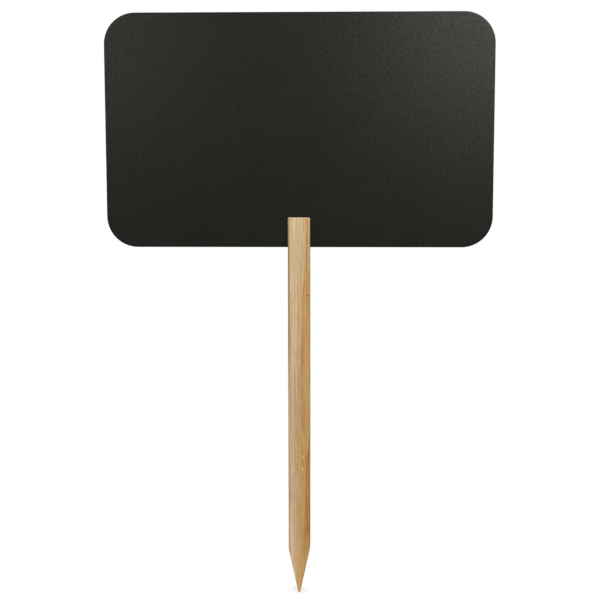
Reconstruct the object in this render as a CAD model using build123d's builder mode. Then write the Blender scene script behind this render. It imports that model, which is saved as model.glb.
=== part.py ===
from build123d import *
import os

# Plant label stake: a chalkboard panel pushed into the sawn slot of a pointed wooden stake.
# Millimetres, +Z up along the stake, +X to the right, and the front looks along -Y.
# The origin is the middle of the stake's tip, which is pushed into the soil.

# Stake: a planed square batten with eased long edges
stake_width = 11.5
stake_depth = 11.5
stake_length = 200.0
stake_edge_radius = 0.6
stake_end_chamfer = 0.3

# Point: two bevels, sawn from the left and from the right, that leave a narrow land at the tip
point_length = 24.0
tip_width = 1.0

# Slot: one saw cut down from the top end, open to the left and to the right
slot_depth = 15.5
slot_clearance = 0.05
slot_lead_in = 0.25

# Board: a stiff core with a writing layer bonded to each side
board_width = 200.0
board_height = 120.0
board_corner_radius = 16.0
core_thickness = 2.4
face_thickness = 0.3
face_edge_chamfer = 0.12

# Places that follow from the sizes above
bevel_run = (stake_width - tip_width) / 2
board_thickness = core_thickness + 2 * face_thickness
slot_width = board_thickness + 2 * slot_clearance
slot_floor = stake_length - slot_depth
board_middle = slot_floor + board_height / 2


# Stake
with BuildPart() as stake:
    with BuildSketch():
        RectangleRounded(stake_width, stake_depth, stake_edge_radius)
    extrude(amount=stake_length)
    top_end = stake.faces().sort_by(Axis.Z)[-1]
    chamfer(top_end.edges(), stake_end_chamfer)

    # The two bevels of the point, each through an edge of the tip's land
    for side in (1, -1):
        bevel = Plane((side * tip_width / 2, 0, 0), z_dir=(side * point_length, 0, -bevel_run))
        split(bisect_by=bevel, keep=Keep.BOTTOM)

    # The saw cut, from above the top end down to the slot's floor
    with BuildSketch(Plane.YZ):
        with Locations((0, stake_length)):
            Rectangle(slot_width, 2 * slot_depth)
    extrude(amount=stake_width, both=True, mode=Mode.SUBTRACT)

    # The mouth of the slot is eased so that the board finds its way in
    top_edges = stake.edges().filter_by(Axis.X).group_by(Axis.Z)[-1]
    mouth_edges = top_edges.sort_by(lambda edge: abs(edge.center().Y))[:2]
    chamfer(mouth_edges, slot_lead_in)


def draw_board_outline():
    """Draw the board's outline, as it stands on the slot's floor, in the open sketch."""
    with Locations((0, board_middle)):
        RectangleRounded(board_width, board_height, board_corner_radius)


# Board core
with BuildPart() as board_core:
    with BuildSketch(Plane.XZ):
        draw_board_outline()
    extrude(amount=core_thickness / 2, both=True)


def make_writing_face(side):
    """One writing layer with its outer edge eased: side is 1 in front of the core, -1 behind it."""
    with BuildPart() as writing_face:
        with BuildSketch(Plane.XZ.offset(side * core_thickness / 2)):
            draw_board_outline()
        extrude(amount=side * face_thickness)
        outer_face = writing_face.faces().sort_by(lambda face: abs(face.center().Y))[-1]
        chamfer(outer_face.edges(), face_edge_chamfer)
    return writing_face


# Writing faces
front_writing_face = make_writing_face(1)
rear_writing_face = make_writing_face(-1)


# One file for each piece
pieces = {
    "stake": stake,
    "board_core": board_core,
    "front_writing_face": front_writing_face,
    "rear_writing_face": rear_writing_face,
}
os.makedirs("parts", exist_ok=True)
for name, piece in pieces.items():
    piece.part.label = name
    export_step(piece.part, f"parts/{name}.step")
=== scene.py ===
import math

import bmesh
import bpy
from mathutils import Matrix, Vector, noise


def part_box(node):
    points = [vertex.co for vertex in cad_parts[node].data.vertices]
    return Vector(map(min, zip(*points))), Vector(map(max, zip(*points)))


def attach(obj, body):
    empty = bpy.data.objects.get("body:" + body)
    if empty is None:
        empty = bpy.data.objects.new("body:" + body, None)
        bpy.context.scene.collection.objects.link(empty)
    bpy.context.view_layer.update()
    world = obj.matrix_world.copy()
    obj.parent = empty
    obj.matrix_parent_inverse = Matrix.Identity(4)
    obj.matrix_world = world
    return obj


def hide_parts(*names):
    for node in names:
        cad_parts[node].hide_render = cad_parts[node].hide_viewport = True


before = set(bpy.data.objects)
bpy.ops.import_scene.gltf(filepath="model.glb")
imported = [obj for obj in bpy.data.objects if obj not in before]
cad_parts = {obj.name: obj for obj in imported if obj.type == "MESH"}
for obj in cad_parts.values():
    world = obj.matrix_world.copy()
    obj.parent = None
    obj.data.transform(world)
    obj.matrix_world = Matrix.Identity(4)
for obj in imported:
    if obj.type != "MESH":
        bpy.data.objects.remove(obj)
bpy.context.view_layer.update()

# Plant label stake: a matt black chalkboard panel in the slotted top of a pointed wooden stake.
# Metres, +Z up along the stake, and the front looks along -Y.

MM = 0.001

# Sizes and places that the frame gives
stake_low, stake_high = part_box("stake")
core_low, core_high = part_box("board_core")
front_low, front_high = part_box("front_writing_face")
rear_low, rear_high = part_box("rear_writing_face")
HALF_WIDTH = stake_high.x
HALF_DEPTH = stake_high.y
STAKE_TOP = stake_high.z
SLOT_FLOOR = core_low.z
BOARD_HALF_WIDTH = core_high.x
BOARD_HALF_HEIGHT = (core_high.z - core_low.z) / 2
BOARD_MIDDLE = (core_high.z + core_low.z) / 2

# Sizes of the stake that its box doesn't show
POINT_LENGTH = 24.0 * MM
TIP_HALF_WIDTH = 0.5 * MM
TIP_ROUNDING = 0.3 * MM
TIP_SIDE_SHARE = 0.5
SLOT_CLEARANCE = 0.05 * MM
SLOT_HALF = rear_high.y + SLOT_CLEARANCE
SLOT_LEAD_IN = 0.25 * MM
EDGE_RADIUS = 0.6 * MM
END_CHAMFER = 0.3 * MM

# Sizes of the board that its boxes don't show
CORNER_RADIUS = 16.0 * MM
ARRIS = 0.12 * MM

# How finely the meshes are divided
ROW_STEP = 0.5 * MM
TIP_ROWS = 3
END_ROWS = 2
ACROSS_FACE = 22
ACROSS_CHEEK = 8
ACROSS_SLOT = 6
ACROSS_ARC = 4
CORNER_STEPS = 14
LONG_EDGE_STEPS = 40
SHORT_EDGE_STEPS = 24
ARRIS_STEPS = 3
CORE_ROWS = 6
FACE_RINGS = (0.99, 0.96, 0.9, 0.8, 0.65, 0.5, 0.35, 0.2, 0.08)
SHARP_ANGLE = math.radians(40)

# Corners closer than this are one, and a point this little past the slot's wall is still on it
JOIN_DISTANCE = 0.001 * MM
JUST_OVER = 1.001

# Finishes of the stake, by the order of its materials
PLANED = 0
SAWN = 1

# Wear of the planed wood: the relief of its grain in waves per metre, and nicks along the long edges.
# A nick is the edge's side in X and in Y, its height, its length and its depth.
UNDULATION = 0.035 * MM
UNDULATION_WAVES = (60, 60, 22)
GRAIN_RELIEF = 0.02 * MM
GRAIN_WAVES = (1100, 1100, 45)
SLOT_MARGIN = 0.1 * MM
NICK_REACH = 0.9 * MM
NICKS = [
    (-1, -1, 84 * MM, 1.6 * MM, 0.22 * MM),
    (-1, -1, 69 * MM, 2.6 * MM, 0.26 * MM),
    (-1, -1, 39 * MM, 1.4 * MM, 0.20 * MM),
    (-1, -1, 151 * MM, 2.0 * MM, 0.14 * MM),
    (1, -1, 112 * MM, 1.8 * MM, 0.16 * MM),
    (1, -1, 176 * MM, 1.2 * MM, 0.14 * MM),
    (1, -1, 26 * MM, 13 * MM, 0.45 * MM),
    (1, 1, 58 * MM, 2.4 * MM, 0.24 * MM),
    (1, 1, 131 * MM, 1.6 * MM, 0.16 * MM),
    (-1, 1, 97 * MM, 2.0 * MM, 0.20 * MM),
    (-1, 1, 165 * MM, 1.4 * MM, 0.18 * MM),
]

# Wear of the sheet's edge: its fuzz, in waves per metre, and how quickly it starts from the bonded layers
FUZZ = 0.06 * MM
FUZZ_WAVES = 900
FUZZ_START = 3


class Patchwork:
    """A mesh in the making: faces are given by their corners, and corners that coincide are joined."""

    def __init__(self):
        self.index = {}
        self.points = []
        self.faces = []
        self.finishes = []

    def corner(self, point):
        key = tuple(round(value / JOIN_DISTANCE) for value in point)
        if key not in self.index:
            self.index[key] = len(self.points)
            self.points.append(Vector(point))
        return self.index[key]

    def face(self, points, finish=0):
        corners = []
        for point in points:
            corner = self.corner(point)
            if corner not in corners:
                corners.append(corner)
        if len(corners) > 2:
            self.faces.append(corners)
            self.finishes.append(finish)

    def grid(self, rows, finish=0):
        for row, above in zip(rows, rows[1:]):
            for i in range(len(row) - 1):
                self.face([row[i], row[i + 1], above[i + 1], above[i]], finish)

    def tube(self, rings):
        """A closed form: rings that each end where they start, and a face over each end."""
        self.grid(rings)
        self.face(rings[0][:-1])
        self.face(rings[-1][:-1])

    def build(self, name, materials, wear=None):
        """The finished object: outward normals, worn by wear(point, normal), smooth apart from its edges."""
        mesh = bpy.data.meshes.new(name)
        mesh.from_pydata(self.points, [], self.faces)
        mesh.polygons.foreach_set("material_index", self.finishes)
        work = bmesh.new()
        work.from_mesh(mesh)
        bmesh.ops.recalc_face_normals(work, faces=work.faces)
        work.normal_update()
        if wear:
            worn = [wear(v.co, v.normal) for v in work.verts]
            for vertex, point in zip(work.verts, worn):
                vertex.co = point
        work.to_mesh(mesh)
        work.free()
        for material in materials:
            mesh.materials.append(material)
        mesh.shade_smooth()
        mesh.set_sharp_from_angle(angle=SHARP_ANGLE)
        piece = bpy.data.objects.new(name, mesh)
        bpy.context.scene.collection.objects.link(piece)
        return piece


def spaced(start, end, count):
    """count + 1 values from start to end."""
    return [start + (end - start) * i / count for i in range(count + 1)]


def smooth(value):
    """0 below 0, 1 above 1, and a smooth step between them."""
    value = min(max(value, 0.0), 1.0)
    return value * value * (3 - 2 * value)


def waves(point, per_metre):
    """Noise from 0 to 1 at a point, with its waves per metre along X, Y and Z."""
    stretched = Vector([value * rate for value, rate in zip(point, per_metre)])
    return 0.5 + 0.5 * noise.noise(stretched)


# Stake


def place(x, y, z):
    """Where a point of the plain batten lies on the finished stake, which narrows to its point."""
    width = 1.0
    if z < POINT_LENGTH:
        taper = z / POINT_LENGTH
        width = (TIP_HALF_WIDTH + (HALF_WIDTH - TIP_HALF_WIDTH) * taper) / HALF_WIDTH
    depth = 1.0
    end_inset = max(0.0, END_CHAMFER - (STAKE_TOP - z))
    width -= end_inset / HALF_WIDTH
    depth -= end_inset / HALF_DEPTH
    tip_inset = max(0.0, TIP_ROUNDING - z)
    width -= TIP_SIDE_SHARE * tip_inset / HALF_WIDTH
    depth -= tip_inset / HALF_DEPTH
    if abs(y) <= SLOT_HALF * JUST_OVER and z > SLOT_FLOOR:
        lead_in = max(0.0, SLOT_LEAD_IN - (STAKE_TOP - z))
        return (x * width, y + math.copysign(lead_in, y), z)
    return (x * width, y * depth, z)


def quarter_arc(centre_x, centre_y, start):
    """Points of one eased long edge, in plan, turning a quarter circle from the start angle."""
    angles = spaced(start, start + math.pi / 2, ACROSS_ARC)
    return [(centre_x + EDGE_RADIUS * math.cos(a), centre_y + EDGE_RADIUS * math.sin(a)) for a in angles]


def stake_outline():
    """The batten's outline in plan, and for each of its segments the side that it lies on."""
    flat_x = HALF_WIDTH - EDGE_RADIUS
    flat_y = HALF_DEPTH - EDGE_RADIUS
    side_y = spaced(-flat_y, -SLOT_HALF, ACROSS_CHEEK)
    side_y += spaced(-SLOT_HALF, SLOT_HALF, ACROSS_SLOT)[1:]
    side_y += spaced(SLOT_HALF, flat_y, ACROSS_CHEEK)[1:]
    runs = [
        ("front", [(x, -HALF_DEPTH) for x in spaced(-flat_x, flat_x, ACROSS_FACE)]),
        ("front", quarter_arc(flat_x, -flat_y, -math.pi / 2)),
        ("side", [(HALF_WIDTH, y) for y in side_y]),
        ("back", quarter_arc(flat_x, flat_y, 0)),
        ("back", [(x, HALF_DEPTH) for x in spaced(flat_x, -flat_x, ACROSS_FACE)]),
        ("back", quarter_arc(-flat_x, flat_y, math.pi / 2)),
        ("side", [(-HALF_WIDTH, y) for y in reversed(side_y)]),
        ("front", quarter_arc(-flat_x, -flat_y, math.pi)),
    ]
    points = []
    sides = []
    for side, run in runs:
        points += run[:-1]
        sides += [side] * (len(run) - 1)
    return points, sides


def stake_levels():
    """Heights of the mesh's rows: from the tip to the slot's floor, and from there to the top end."""
    lower = spaced(0, TIP_ROUNDING, TIP_ROWS)
    lower += spaced(TIP_ROUNDING, SLOT_FLOOR, round(SLOT_FLOOR / ROW_STEP))[1:]
    upper = spaced(SLOT_FLOOR, STAKE_TOP - END_CHAMFER, round((STAKE_TOP - SLOT_FLOOR) / ROW_STEP))
    upper += spaced(STAKE_TOP - END_CHAMFER, STAKE_TOP, END_ROWS)[1:]
    return lower, upper


def add_outside(mesh, outline, sides, levels):
    """Outside of the batten and its tip, with the slot's two mouths left open."""
    for low, high in zip(levels, levels[1:]):
        for i, (a, b) in enumerate(zip(outline, outline[1:] + outline[:1])):
            on_side = sides[i] == "side"
            in_slot = on_side and max(abs(a[1]), abs(b[1])) <= SLOT_HALF * JUST_OVER
            if in_slot and low >= SLOT_FLOOR:
                continue
            on_bevel = on_side and high <= POINT_LENGTH
            on_chamfer = low >= STAKE_TOP - END_CHAMFER
            corners = [place(*a, low), place(*b, low), place(*b, high), place(*a, high)]
            mesh.face(corners, SAWN if on_bevel or on_chamfer else PLANED)
    mesh.face([place(*point, 0) for point in outline], SAWN)


def add_slot(mesh, across, upper):
    """Walls and floor of the slot."""
    for y in (-SLOT_HALF, SLOT_HALF):
        mesh.grid([[place(x, y, z) for x in across] for z in upper], SAWN)
    floor_rows = spaced(-SLOT_HALF, SLOT_HALF, ACROSS_SLOT)
    mesh.grid([[place(x, y, SLOT_FLOOR) for x in across] for y in floor_rows], SAWN)


def add_cheek_ends(mesh, outline, across):
    """Sawn top ends of the two cheeks, in front of the slot and behind it."""
    for turn in (-1, 1):
        rim = [p for p in outline if turn * p[1] >= SLOT_HALF / JUST_OVER]
        rim.sort(key=lambda p: math.atan2(p[0], turn * p[1]))
        inner = [(x, turn * SLOT_HALF) for x in reversed(across[1:-1])]
        mesh.face([place(*p, STAKE_TOP) for p in rim + inner], SAWN)


def wear_stake(point, normal):
    """Planed and handled wood: a little lower in the soft grain, and dented along the edges."""
    if abs(point.y) <= SLOT_HALF + SLOT_LEAD_IN and point.z >= SLOT_FLOOR - SLOT_MARGIN:
        return point.copy()
    depth = UNDULATION * waves(point, UNDULATION_WAVES) + GRAIN_RELIEF * waves(point, GRAIN_WAVES)
    worn = point - normal * depth
    for side_x, side_y, height, length, deep in NICKS:
        edge = Vector((side_x * HALF_WIDTH, side_y * HALF_DEPTH))
        away = (point.xy - edge).length / NICK_REACH
        along = abs(point.z - height) / length
        if away < 1 and along < 1:
            dent = deep * smooth(1 - away) * smooth(1 - along)
            worn -= Vector((edge.x, edge.y, 0)).normalized() * dent
    return worn


def make_stake(planed, sawn):
    outline, sides = stake_outline()
    lower, upper = stake_levels()
    across = spaced(-HALF_WIDTH, HALF_WIDTH, ACROSS_FACE)
    mesh = Patchwork()
    add_outside(mesh, outline, sides, lower + upper[1:])
    add_slot(mesh, across, upper)
    add_cheek_ends(mesh, outline, across)
    return mesh.build("wooden_stake", [planed, sawn], wear_stake)


# Board


def board_outline(inset):
    """The board's rounded outline, as points in X and Z about its middle, drawn in by inset."""
    half_x = BOARD_HALF_WIDTH - CORNER_RADIUS
    half_z = BOARD_HALF_HEIGHT - CORNER_RADIUS
    radius = CORNER_RADIUS - inset
    corners = [(half_x, -half_z, -90), (half_x, half_z, 0), (-half_x, half_z, 90), (-half_x, -half_z, 180)]
    runs = [SHORT_EDGE_STEPS, LONG_EDGE_STEPS, SHORT_EDGE_STEPS, LONG_EDGE_STEPS]
    points = []
    for i, (x, z, start) in enumerate(corners):
        arc = []
        for angle in spaced(math.radians(start), math.radians(start + 90), CORNER_STEPS):
            arc.append((x + radius * math.cos(angle), z + radius * math.sin(angle)))
        next_x, next_z, next_start = corners[(i + 1) % len(corners)]
        turn = math.radians(next_start)
        end = (next_x + radius * math.cos(turn), next_z + radius * math.sin(turn))
        edge_x = spaced(arc[-1][0], end[0], runs[i])
        edge_z = spaced(arc[-1][1], end[1], runs[i])
        points += arc + list(zip(edge_x, edge_z))[1:-1]
    return points


def board_ring(y, inset=0.0, scale=1.0):
    """One closed ring of the board's outline at a depth."""
    ring = [(x * scale, y, BOARD_MIDDLE + z * scale) for x, z in board_outline(inset)]
    return ring + ring[:1]


def make_writing_face(name, inner_y, outer_y, material):
    """A thin writing layer: its bonded side, its edge, a rounded arris and the face in rings."""
    outward = math.copysign(1, outer_y - inner_y)
    rings = [board_ring(inner_y)]
    for angle in spaced(0, math.pi / 2, ARRIS_STEPS):
        drop = outward * ARRIS * (1 - math.sin(angle))
        rings.append(board_ring(outer_y - drop, ARRIS * (1 - math.cos(angle))))
    for scale in FACE_RINGS:
        rings.append(board_ring(outer_y, ARRIS, scale))
    mesh = Patchwork()
    mesh.tube(rings)
    return mesh.build(name, [material])


def wear_core(point, normal):
    """The sanded edge of the sheet, a little fuzzy between the two bonded layers."""
    inside = 1 - abs(point.y) / core_high.y
    fuzz = FUZZ * waves(point, [FUZZ_WAVES] * 3)
    return point - Vector((normal.x, 0, normal.z)) * fuzz * smooth(FUZZ_START * inside)


def make_core(material):
    mesh = Patchwork()
    mesh.tube([board_ring(y) for y in spaced(core_low.y, core_high.y, CORE_ROWS)])
    return mesh.build("board_sheet", [material], wear_core)


# Materials

# Most of a noise texture's values lie between these two
NOISE_LOW = 0.3
NOISE_HIGH = 0.7


class Shader:
    """Short ways to add and link the nodes of one material, whose coordinates are in millimetres."""

    def __init__(self, name):
        self.material = bpy.data.materials.new(name)
        self.material.use_nodes = True
        self.tree = self.material.node_tree
        self.surface = self.tree.nodes["Principled BSDF"]
        where = self.add("ShaderNodeTexCoord")
        self.point = self.vector("SCALE", where.outputs["Object"], scale=1 / MM)
        self.normal = where.outputs["Normal"]

    def add(self, kind, inputs=None, **settings):
        node = self.tree.nodes.new(kind)
        for name, value in settings.items():
            setattr(node, name, value)
        for name, value in (inputs or {}).items():
            self.put(node.inputs[name], value)
        return node

    def put(self, socket, value):
        if isinstance(value, bpy.types.NodeSocket):
            self.tree.links.new(value, socket)
        else:
            socket.default_value = value

    def finish(self, values):
        """Set or link inputs of the surface, by their names."""
        for name, value in values.items():
            self.put(self.surface.inputs[name], value)

    def math(self, operation, a, b=0.0, c=0.0):
        node = self.add("ShaderNodeMath", {0: a, 1: b, 2: c}, operation=operation)
        return node.outputs[0]

    def product(self, first, *others):
        for other in others:
            first = self.math("MULTIPLY", first, other)
        return first

    def vector(self, operation, a, b=(0, 0, 0), scale=1.0):
        last = {"Scale": scale} if operation == "SCALE" else {1: b}
        node = self.add("ShaderNodeVectorMath", {0: a, **last}, operation=operation)
        return node.outputs["Value" if operation in ("DISTANCE", "LENGTH") else "Vector"]

    def upward(self, vector):
        """The Z part of a vector."""
        return self.add("ShaderNodeSeparateXYZ", {"Vector": vector}).outputs["Z"]

    def noise(self, stretch, detail=2.0, roughness=0.5, point=None, output="Fac"):
        """Noise from 0 to 1, with stretch as its cycles per millimetre along X, Y and Z."""
        where = self.vector("MULTIPLY", point or self.point, stretch)
        inputs = {"Vector": where, "Scale": 1.0, "Detail": detail, "Roughness": roughness}
        return self.add("ShaderNodeTexNoise", inputs).outputs[output]

    def step(self, value, start, end):
        """0 before start, 1 past end, and a smooth step between them, whichever of the two is larger."""
        inputs = {"Value": value, "From Min": start, "From Max": end}
        return self.add("ShaderNodeMapRange", inputs, interpolation_type="SMOOTHSTEP").outputs["Result"]

    def band(self, value, start, started, ending, end):
        """1 from started to ending, 0 before start and past end, with smooth steps between them."""
        return self.math("SUBTRACT", self.step(value, start, started), self.step(value, ending, end))

    def range(self, value, low, high, to_low, to_high):
        inputs = {"Value": value, "From Min": low, "From Max": high, "To Min": to_low, "To Max": to_high}
        return self.add("ShaderNodeMapRange", inputs).outputs["Result"]

    def spread(self, texture, to_low, to_high):
        """A noise texture's usual values, spread from to_low to to_high."""
        return self.range(texture, NOISE_LOW, NOISE_HIGH, to_low, to_high)

    def mix(self, factor, a, b, blend="MIX"):
        node = self.add("ShaderNodeMix", data_type="RGBA", blend_type=blend)
        for socket, value in ((node.inputs[0], factor), (node.inputs[6], a), (node.inputs[7], b)):
            self.put(socket, value)
        return node.outputs[2]

    def grey(self, value):
        return self.add("ShaderNodeCombineColor", {0: value, 1: value, 2: value}).outputs[0]

    def curve(self, value, points, low, span):
        """A smooth curve through given points, whose heights lie within span above low."""
        node = self.add("ShaderNodeFloatCurve", {"Value": value})
        line = node.mapping.curves[0]
        for i, (x, y) in enumerate(points):
            place = (x, (y - low) / span)
            if i < 2:
                line.points[i].location = place
            else:
                line.points.new(*place)
        node.mapping.update()
        return self.math("MULTIPLY_ADD", node.outputs["Value"], span, low)

    def bump(self, height, strength, distance):
        node = self.add("ShaderNodeBump", {"Height": height, "Strength": strength, "Distance": distance})
        self.finish({"Normal": node.outputs["Normal"]})


def rgb(red, green, blue):
    return (red, green, blue, 1.0)


# Wood: the pith lies behind the stake to its left, so growth rings cross it slantwise.
# Noises are in cycles per millimetre, drifts have their reach in millimetres after them.
PITH = (-40.0, 30.0, 0.0)
STAKE_LENGTH_MM = STAKE_TOP / MM
DRIFTS = [((0.05, 0.05, 0.009), 1.4), ((0.16, 0.16, 0.045), 0.55)]

# Growth rings: where in a ring its late wood comes and goes, how strongly it colours,
# and how it fades towards the top end, over shares of the stake's length
RING_WIDTH = 1.2
RING_JITTER = (0.45, 0.45, 0.004)
JITTER_RINGS = 1.6
LATE_BAND = (0.45, 0.88, 0.92, 1.0)
LATE_STRENGTH = 0.55
LATE_FADE_ALONG = (0.78, 0.9)
LATE_FADE = (1.0, 0.4)
TONE = (0.5, 0.5, 0.012)
TONE_STEP = (0.38, 0.62)
PALE = rgb(0.545, 0.402, 0.222)
ROSY = rgb(0.575, 0.41, 0.255)
TAN = rgb(0.42, 0.285, 0.135)

# Heart side: edges of the streaks as ring radii in millimetres, at shares of the stake's length
RADIUS_LOW = 50.0
RADIUS_SPAN = 10.0
AMBER_EDGE = [
    (0.0, 53.8), (0.2, 53.5), (0.36, 53.7), (0.6, 54.45),
    (0.74, 54.55), (0.8, 54.85), (0.87, 56.0), (1.0, 56.4),
]
AMBER_END = [(0.0, 58.0), (0.45, 57.8), (0.55, 57.7), (0.7, 57.7), (0.8, 57.9), (0.88, 57.6), (1.0, 57.2)]
BROWN_EDGE = [(0.0, 55.0), (0.15, 55.4), (0.25, 55.95), (0.36, 56.5), (0.41, 57.6), (0.46, 58.8), (1.0, 59.6)]
RAGGED = (0.8, 0.8, 0.05)
BLOTCH = (0.4, 0.4, 0.09)

# A REACH is in millimetres past an edge, and an ALONG is in shares of the stake's length from the tip
WARM = rgb(0.48, 0.31, 0.143)
WARM_REACH = (-2.6, -1.2)
WARM_STRENGTH = 0.8
ROSE = rgb(0.60, 0.41, 0.27)
ROSE_ALONG = (0.5, 0.1)
ROSE_STRENGTH = 0.3
AMBER = rgb(0.45, 0.245, 0.073)
AMBER_RAGGED = 0.25
AMBER_SOFT_REACH = (-1.8, 1.4)
AMBER_SHARP_REACH = (-0.4, 0.3)
AMBER_SHARP_ALONG = (0.38, 0.62)
AMBER_BLOTCH = (0.65, 0.95)
AMBER_END_REACH = (-0.3, 0.3)
PAST_END_STRENGTH = 0.35
LINE = rgb(0.385, 0.18, 0.055)
LINE_REACH = (-0.3, 0.05, 0.2, 0.6)
LINE_ALONG = (0.3, 0.6)
LINE_FADE_ALONG = (0.82, 0.92)
LINE_STRENGTH = (0.75, 0.25)
BROWN = rgb(0.35, 0.168, 0.040)
BROWN_RAGGED = 0.3
BROWN_REACH = (-0.5, 0.5)
BROWN_ALONG = (0.07, 0.18)
BROWN_BLOTCH = (0.65, 1.0)

# Painted shade along the front left edge, drawn as a dark ring in the wood, further in and fainter lower down
EDGE_SHADE_BROWN = rgb(0.28, 0.18, 0.083)
EDGE_SHADE_BAND = (48.6, 49.1, 49.8, 50.3)
EDGE_SHIFT_ALONG = (0.5, 0.8)
EDGE_SHIFT = (0.35, 0.0)
EDGE_FADE_ALONG = (0.48, 0.66)
EDGE_STRENGTH = (0.25, 0.85)

# Fibres: each noise and how far it darkens or lightens the wood
STREAK = (1.35, 1.35, 0.045)
STREAK_SHADE = (0.83, 1.13)
FIBRE = (2.3, 2.3, 0.08)
FIBRE_SHADE = (0.85, 1.11)
PORE = (1.8, 1.8, 0.6)
PORE_SHADE = (0.95, 1.04)
LIGHT_FLECK = (1.1, 1.1, 0.42)
LIGHT_FLECK_STEP = (0.62, 0.76)
LIGHT_FLECK_SHADE = (1.0, 1.1)
RIPPLE = (0.8, 0.8, 0.3)
RIPPLE_IN_PALE = 0.2
RIPPLE_IN_AMBER = 0.32
LATE_SHADE = (1.02, 0.945)

# Shade along the stake, at shares of its length from the tip
ALONG_LOW = 0.9
ALONG_SPAN = 0.2
ALONG_TONE = [(0.0, 1.09), (0.12, 1.05), (0.2, 0.97), (0.45, 0.96), (0.7, 1.0), (0.85, 1.01), (1.0, 1.09)]

# Marks on the front face: place in X and Z, half width, half height, colour and strength
KNOT = rgb(0.22, 0.075, 0.012)
FLECK = rgb(0.66, 0.43, 0.21)
MARKS = [
    (4.95, 159.8, 0.55, 0.8, KNOT, 0.8),
    (2.35, 75.7, 0.5, 0.7, KNOT, 0.35),
    (2.0, 74.1, 0.6, 0.7, FLECK, 0.7),
    (2.4, 70.4, 0.3, 2.2, KNOT, 0.3),
    (1.75, 67.4, 0.7, 1.2, FLECK, 0.5),
    (0.2, 78.5, 0.5, 0.7, FLECK, 0.4),
]
MARK_DEPTH_SHARE = 0.3
MARK_EDGE = (0.45, 1.25)

# Sawn surfaces are paler, most on the end grain, and marked across by the saw
END_TINT = rgb(0.70, 0.58, 0.40)
SAW = (0.4, 0.4, 3.2)
SAW_PALE = (0.1, 0.35)
END_GRAIN_FACING = (0.3, 0.7)
END_GRAIN_PALE = 0.4

# Surface of the wood: roughness of early and late wood and of a sawn face, and shares of its relief
EARLY_ROUGHNESS = 0.66
LATE_ROUGHNESS = 0.52
SAWN_ROUGHNESS = 0.8
WOOD_SPECULAR = 0.25
FIBRE_RELIEF = 0.7
PORE_RELIEF = 0.4
SAW_RELIEF = 1.2
WOOD_BUMP = 0.35
WOOD_BUMP_DEPTH = 0.06 * MM


class Wood(Shader):
    """Softwood in the making: where its rings lie, and the colour that each step paints over."""

    def __init__(self, name):
        super().__init__(name)
        self.bent = self.point
        for stretch, reach in DRIFTS:
            drift = self.noise(stretch, detail=1.0, output="Color")
            drift = self.vector("SUBTRACT", drift, (0.5, 0.5, 0.5))
            drift = self.vector("MULTIPLY", drift, (reach, reach, 0.0))
            self.bent = self.vector("ADD", self.bent, drift)
        flat = self.vector("MULTIPLY", self.bent, (1, 1, 0))
        self.radius = self.vector("DISTANCE", flat, PITH)
        self.share = self.math("DIVIDE", self.upward(self.point), STAKE_LENGTH_MM)
        self.colour = PALE

    def grain(self, stretch, detail=2.0, roughness=0.5):
        """Noise that follows the bent grain."""
        return self.noise(stretch, detail, roughness, point=self.bent)

    def along(self, place, values):
        """From the first value to the second, over a pair of shares of the stake's length."""
        return self.range(self.share, *place, *values)

    def beyond(self, edge):
        """Millimetres past a given edge, away from the pith."""
        return self.math("SUBTRACT", self.radius, self.curve(self.share, edge, RADIUS_LOW, RADIUS_SPAN))

    def paint(self, factor, stain):
        self.colour = self.mix(factor, self.colour, stain)


def paint_rings(wood):
    """Pale spring wood that deepens to a thin tan line, then starts again; gives the share of late wood."""
    jitter = wood.product(wood.grain(RING_JITTER, detail=1.0), JITTER_RINGS)
    phase = wood.math("ADD", wood.math("DIVIDE", wood.radius, RING_WIDTH), jitter)
    late = wood.band(wood.math("FRACT", phase), *LATE_BAND)
    late = wood.product(late, wood.along(LATE_FADE_ALONG, LATE_FADE))
    wood.paint(wood.step(wood.grain(TONE), *TONE_STEP), ROSY)
    wood.paint(wood.product(late, LATE_STRENGTH), TAN)
    return late


def paint_heart(wood):
    """Warmer wood, the amber streak with its dark line, and a brown streak; gives the amber's share."""
    ragged = wood.grain(RAGGED)
    blotch = wood.grain(BLOTCH)
    into_amber = wood.math("ADD", wood.beyond(AMBER_EDGE), wood.spread(ragged, -AMBER_RAGGED, AMBER_RAGGED))
    into_brown = wood.math("ADD", wood.beyond(BROWN_EDGE), wood.spread(ragged, -BROWN_RAGGED, BROWN_RAGGED))
    past_end = wood.step(wood.beyond(AMBER_END), *AMBER_END_REACH)
    kept = wood.range(past_end, 0.0, 1.0, 1.0, PAST_END_STRENGTH)

    wood.paint(wood.product(wood.step(into_amber, *WARM_REACH), WARM_STRENGTH), WARM)
    wood.paint(wood.product(wood.step(wood.share, *ROSE_ALONG), ROSE_STRENGTH), ROSE)

    soft = wood.step(into_amber, *AMBER_SOFT_REACH)
    sharp = wood.step(into_amber, *AMBER_SHARP_REACH)
    amber = wood.mix(wood.step(wood.share, *AMBER_SHARP_ALONG), soft, sharp)
    amber = wood.product(amber, wood.spread(blotch, *AMBER_BLOTCH))
    wood.paint(wood.product(amber, kept), AMBER)

    line = wood.band(into_amber, *LINE_REACH)
    line = wood.product(line, wood.step(wood.share, *LINE_ALONG), wood.along(LINE_FADE_ALONG, LINE_STRENGTH))
    wood.paint(line, LINE)

    brown = wood.product(wood.step(into_brown, *BROWN_REACH), wood.step(wood.share, *BROWN_ALONG))
    wood.paint(wood.product(brown, wood.spread(blotch, *BROWN_BLOTCH), kept), BROWN)
    return amber


def paint_left_edge_shade(wood):
    """Painted shade on the front left edge, drawn as a dark ring that comes out along it."""
    shifted = wood.math("SUBTRACT", wood.radius, wood.along(EDGE_SHIFT_ALONG, EDGE_SHIFT))
    ring = wood.band(shifted, *EDGE_SHADE_BAND)
    wood.paint(wood.product(ring, wood.along(EDGE_FADE_ALONG, EDGE_STRENGTH)), EDGE_SHADE_BROWN)


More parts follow.
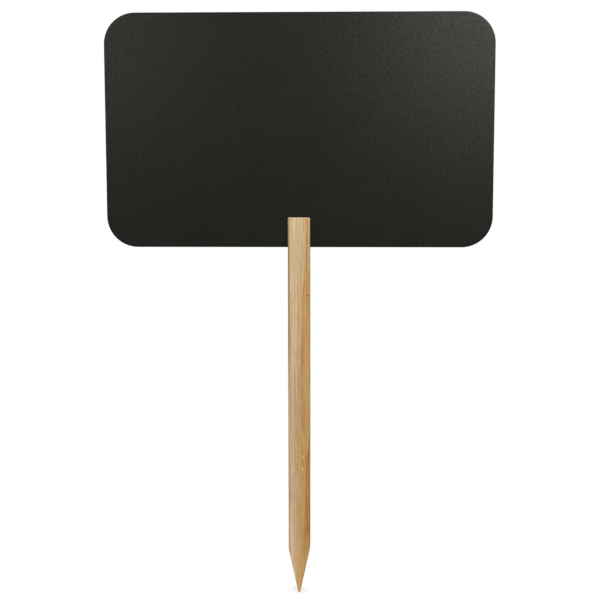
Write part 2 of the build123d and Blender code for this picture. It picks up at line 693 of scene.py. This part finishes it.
def shade_fibres(wood, fibre, pores, late, amber):
    """Long fine streaks, short pores, light flecks and ripples, and the tone along the stake."""
    light = wood.step(wood.grain(LIGHT_FLECK, detail=1.0), *LIGHT_FLECK_STEP)
    ripple = wood.math("SUBTRACT", wood.grain(RIPPLE, detail=1.0), 0.5)
    ripple = wood.product(ripple, wood.range(amber, 0.0, 1.0, RIPPLE_IN_PALE, RIPPLE_IN_AMBER))
    shade = wood.product(
        wood.spread(wood.grain(STREAK), *STREAK_SHADE),
        wood.spread(fibre, *FIBRE_SHADE),
        wood.spread(pores, *PORE_SHADE),
        wood.curve(wood.share, ALONG_TONE, ALONG_LOW, ALONG_SPAN),
        wood.range(light, 0.0, 1.0, *LIGHT_FLECK_SHADE),
        wood.math("ADD", ripple, 1.0),
        wood.range(late, 0.0, 1.0, *LATE_SHADE),
    )
    wood.colour = wood.mix(1.0, wood.colour, wood.grey(shade), "MULTIPLY")


def paint_marks(wood):
    """A small knot and a few flecks, each a soft spot that runs a little way into the wood."""
    for x, z, wide, high, stain, strength in MARKS:
        around = wood.vector("SUBTRACT", wood.point, (x, stake_low.y / MM, z))
        around = wood.vector("MULTIPLY", around, (1 / wide, MARK_DEPTH_SHARE / wide, 1 / high))
        outside = wood.step(wood.vector("LENGTH", around), *MARK_EDGE)
        wood.paint(wood.product(wood.math("SUBTRACT", 1.0, outside), strength), stain)


def paint_saw(wood, saw):
    """The paler look of a sawn face, strongest on the end grain."""
    end_grain = wood.step(wood.math("ABSOLUTE", wood.upward(wood.normal)), *END_GRAIN_FACING)
    pale = wood.math("ADD", wood.spread(saw, *SAW_PALE), wood.product(end_grain, END_GRAIN_PALE))
    wood.paint(pale, END_TINT)


def make_wood(name, sawn):
    """Softwood with growth rings, an amber streak on one side, fine fibres and small marks."""
    wood = Wood(name)
    late = paint_rings(wood)
    amber = paint_heart(wood)
    # painted shade on the front left edge
    paint_left_edge_shade(wood)
    fibre = wood.grain(FIBRE, detail=3.0, roughness=0.65)
    pores = wood.noise(PORE)
    shade_fibres(wood, fibre, pores, late, amber)
    paint_marks(wood)
    relief = wood.math("ADD", wood.product(fibre, FIBRE_RELIEF), wood.product(pores, PORE_RELIEF))
    roughness = wood.range(late, 0.0, 1.0, EARLY_ROUGHNESS, LATE_ROUGHNESS)
    if sawn:
        saw = wood.noise(SAW)
        paint_saw(wood, saw)
        relief = wood.math("ADD", relief, wood.product(saw, SAW_RELIEF))
        roughness = SAWN_ROUGHNESS
    wood.finish({"Base Color": wood.colour, "Roughness": roughness, "Specular IOR Level": WOOD_SPECULAR})
    wood.bump(relief, WOOD_BUMP, WOOD_BUMP_DEPTH)
    return wood.material


# Chalkboard: noises in cycles per millimetre, the same in every direction
PEBBLE = (0.7, 0.7, 0.7)
GRAIN = (0.6, 0.6, 0.6)
MOTTLE = (0.06, 0.06, 0.06)
BOARD_DARK = rgb(0.0042, 0.0042, 0.0036)
BOARD_LIGHT = rgb(0.0048, 0.0047, 0.0041)
BOARD_ROUGHNESS = (0.295, 0.315)
BOARD_SPECULAR = (0.083, 0.112)
BOARD_SHEEN_TINT = rgb(1.0, 1.0, 0.88)
BOARD_BUMP = 0.1
BOARD_BUMP_DEPTH = 0.24 * MM


def make_chalkboard(name):
    """Matt black writing surface with a fine pebble, and a soft sheen that grains break up."""
    board = Shader(name)
    mottle = board.noise(MOTTLE, detail=3.0)
    board.finish({
        "Base Color": board.mix(board.step(mottle, NOISE_LOW, NOISE_HIGH), BOARD_DARK, BOARD_LIGHT),
        "Roughness": board.spread(mottle, *BOARD_ROUGHNESS),
        "Specular IOR Level": board.spread(board.noise(GRAIN, detail=1.0), *BOARD_SPECULAR),
        "Specular Tint": BOARD_SHEEN_TINT,
    })
    board.bump(board.noise(PEBBLE, detail=1.5), BOARD_BUMP, BOARD_BUMP_DEPTH)
    return board.material


# Edge of the sheet: its fibres run along the sheet, so their noise is fine only through it
SHEET_FIBRE = (0.8, 5.0, 0.8)
SHEET_SPECK = (3.0, 3.0, 3.0)
SHEET_DARK = rgb(0.007, 0.0062, 0.0052)
SHEET_LIGHT = rgb(0.021, 0.0175, 0.0135)
SHEET_ROUGHNESS = (0.75, 0.92)
SHEET_SPECULAR = 0.15
SHEET_BUMP = 0.5
SHEET_BUMP_DEPTH = 0.05 * MM


def make_sheet_edge(name):
    """Edge of the black dyed fibre sheet: matt, with short fibres along the sheet."""
    sheet = Shader(name)
    fibre = sheet.noise(SHEET_FIBRE, detail=3.0, roughness=0.6)
    sheet.finish({
        "Base Color": sheet.mix(sheet.step(fibre, NOISE_LOW, NOISE_HIGH), SHEET_DARK, SHEET_LIGHT),
        "Roughness": sheet.spread(sheet.noise(SHEET_SPECK), *SHEET_ROUGHNESS),
        "Specular IOR Level": SHEET_SPECULAR,
    })
    sheet.bump(fibre, SHEET_BUMP, SHEET_BUMP_DEPTH)
    return sheet.material


# Stage, light and camera
WHITE = rgb(1, 1, 1)
FLOOR_SIZE = 3.0
FLOOR_PALE = rgb(0.45, 0.45, 0.45)
FLOOR_ROUGHNESS = 0.9
FLOOR_GLOW = 0.52
FLOOR_FADE = (0.12, 0.45)
SURROUND = rgb(0.38, 0.38, 0.38)
TARGET = Vector((0, 0, 0.17))
SOFTBOXES = [
    # name, degrees to the right of the front, degrees up, distance, size, watts
    ("key", 16.0, 16.4, 1.0, 0.30, 5.0),
    ("fill", -20.5, 13.8, 1.0, 0.30, 1.85),
    ("rear_right", 145.0, 25.0, 1.2, 0.5, 5.5),
    ("rear_left", -145.0, 25.0, 1.2, 0.5, 5.5),
    ("top", 0.0, 90.0, 1.1, 0.6, 5.0),
]
IMAGE_PIXELS = 600
FOCAL_PIXELS = 1300
SENSOR_MM = 36.0
CAMERA_AIM = Vector((0.376 * MM, 0, 156.645 * MM))
CAMERA_DISTANCE = 680.56 * MM
CAMERA_PITCH = math.radians(7.0675)
CAMERA_YAW = math.radians(-1.9)
CAMERA_ROLL = math.radians(-0.0767)


def seen_directly(tree):
    """1 for the rays that show the background: camera, glossy and transmission rays."""
    path = tree.nodes.new("ShaderNodeLightPath")
    value = path.outputs["Is Camera Ray"]
    for name in ("Is Glossy Ray", "Is Transmission Ray"):
        either = tree.nodes.new("ShaderNodeMath")
        either.operation = "MAXIMUM"
        tree.links.new(value, either.inputs[0])
        tree.links.new(path.outputs[name], either.inputs[1])
        value = either.outputs[0]
    return value


def make_world():
    """An even surround for the light, and a white background."""
    world = bpy.data.worlds.new("studio")
    bpy.context.scene.world = world
    world.use_nodes = True
    tree = world.node_tree
    even = tree.nodes["Background"]
    even.inputs["Color"].default_value = SURROUND
    white = tree.nodes.new("ShaderNodeBackground")
    white.inputs["Color"].default_value = WHITE
    white.inputs["Strength"].default_value = 1.0
    mix = tree.nodes.new("ShaderNodeMixShader")
    tree.links.new(seen_directly(tree), mix.inputs[0])
    tree.links.new(even.outputs[0], mix.inputs[1])
    tree.links.new(white.outputs[0], mix.inputs[2])
    tree.links.new(mix.outputs[0], tree.nodes["World Output"].inputs["Surface"])


def make_floor_cover(name):
    """A pale cover that looks white, keeps the shadow near the stake and runs into the background."""
    cover = Shader(name)
    seen = seen_directly(cover.tree)
    cover.finish({
        "Base Color": FLOOR_PALE,
        "Roughness": FLOOR_ROUGHNESS,
        "Emission Color": WHITE,
        "Emission Strength": cover.product(seen, FLOOR_GLOW),
    })
    metres = cover.vector("LENGTH", cover.vector("SCALE", cover.point, scale=MM))
    far = cover.product(seen, cover.step(metres, *FLOOR_FADE))
    white = cover.add("ShaderNodeEmission", {"Color": WHITE, "Strength": 1.0})
    mix = cover.add("ShaderNodeMixShader", {0: far, 1: cover.surface.outputs[0], 2: white.outputs[0]})
    cover.put(cover.tree.nodes["Material Output"].inputs["Surface"], mix.outputs[0])
    return cover.material


def make_floor():
    half = FLOOR_SIZE / 2
    corners = [(-half, -half, 0), (half, -half, 0), (half, half, 0), (-half, half, 0)]
    mesh = bpy.data.meshes.new("floor")
    mesh.from_pydata(corners, [], [(0, 1, 2, 3)])
    mesh.materials.append(make_floor_cover("white_floor"))
    floor = bpy.data.objects.new("floor", mesh)
    bpy.context.scene.collection.objects.link(floor)


def make_lights():
    for name, azimuth, elevation, distance, size, watts in SOFTBOXES:
        turn = math.radians(azimuth)
        rise = math.radians(elevation)
        away = Vector((math.sin(turn) * math.cos(rise), -math.cos(turn) * math.cos(rise), math.sin(rise)))
        lamp = bpy.data.lights.new(name, "AREA")
        lamp.shape = "SQUARE"
        lamp.size = size
        lamp.energy = watts
        box = bpy.data.objects.new(name, lamp)
        box.location = TARGET + away * distance
        box.rotation_euler = away.to_track_quat("Z", "Y").to_euler()
        bpy.context.scene.collection.objects.link(box)


def make_camera():
    forward = Vector((
        math.sin(CAMERA_YAW) * math.cos(CAMERA_PITCH),
        math.cos(CAMERA_YAW) * math.cos(CAMERA_PITCH),
        -math.sin(CAMERA_PITCH),
    ))
    level = Vector((math.cos(CAMERA_YAW), -math.sin(CAMERA_YAW), 0))
    upright = level.cross(forward)
    right = level * math.cos(CAMERA_ROLL) + upright * math.sin(CAMERA_ROLL)
    up = right.cross(forward)
    lens = bpy.data.cameras.new("camera")
    lens.sensor_width = SENSOR_MM
    lens.lens = SENSOR_MM * FOCAL_PIXELS / IMAGE_PIXELS
    camera = bpy.data.objects.new("camera", lens)
    turn = Matrix((right, up, -forward)).transposed().to_4x4()
    camera.matrix_world = Matrix.Translation(CAMERA_AIM - forward * CAMERA_DISTANCE) @ turn
    bpy.context.scene.collection.objects.link(camera)
    bpy.context.scene.camera = camera


# The pieces, each on its body in place of its plain solid
chalkboard = make_chalkboard("chalkboard_black")
planed_wood = make_wood("planed_wood", False)
sawn_wood = make_wood("sawn_wood", True)
pieces = [
    (make_stake(planed_wood, sawn_wood), "stake", "stake", "stake_wood"),
    (make_core(make_sheet_edge("sheet_edge")), "board", "board_core", "board_core"),
    (make_writing_face("front_chalk_face", front_high.y, front_low.y, chalkboard),
     "board", "front_writing_face", "writing_face"),
    (make_writing_face("rear_chalk_face", rear_low.y, rear_high.y, chalkboard),
     "board", "rear_writing_face", "writing_face"),
]
for piece, body, node, slot in pieces:
    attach(piece, body)
    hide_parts(node)

make_world()
make_floor()
make_lights()
make_camera()
bpy.context.scene.view_settings.view_transform = "Standard"
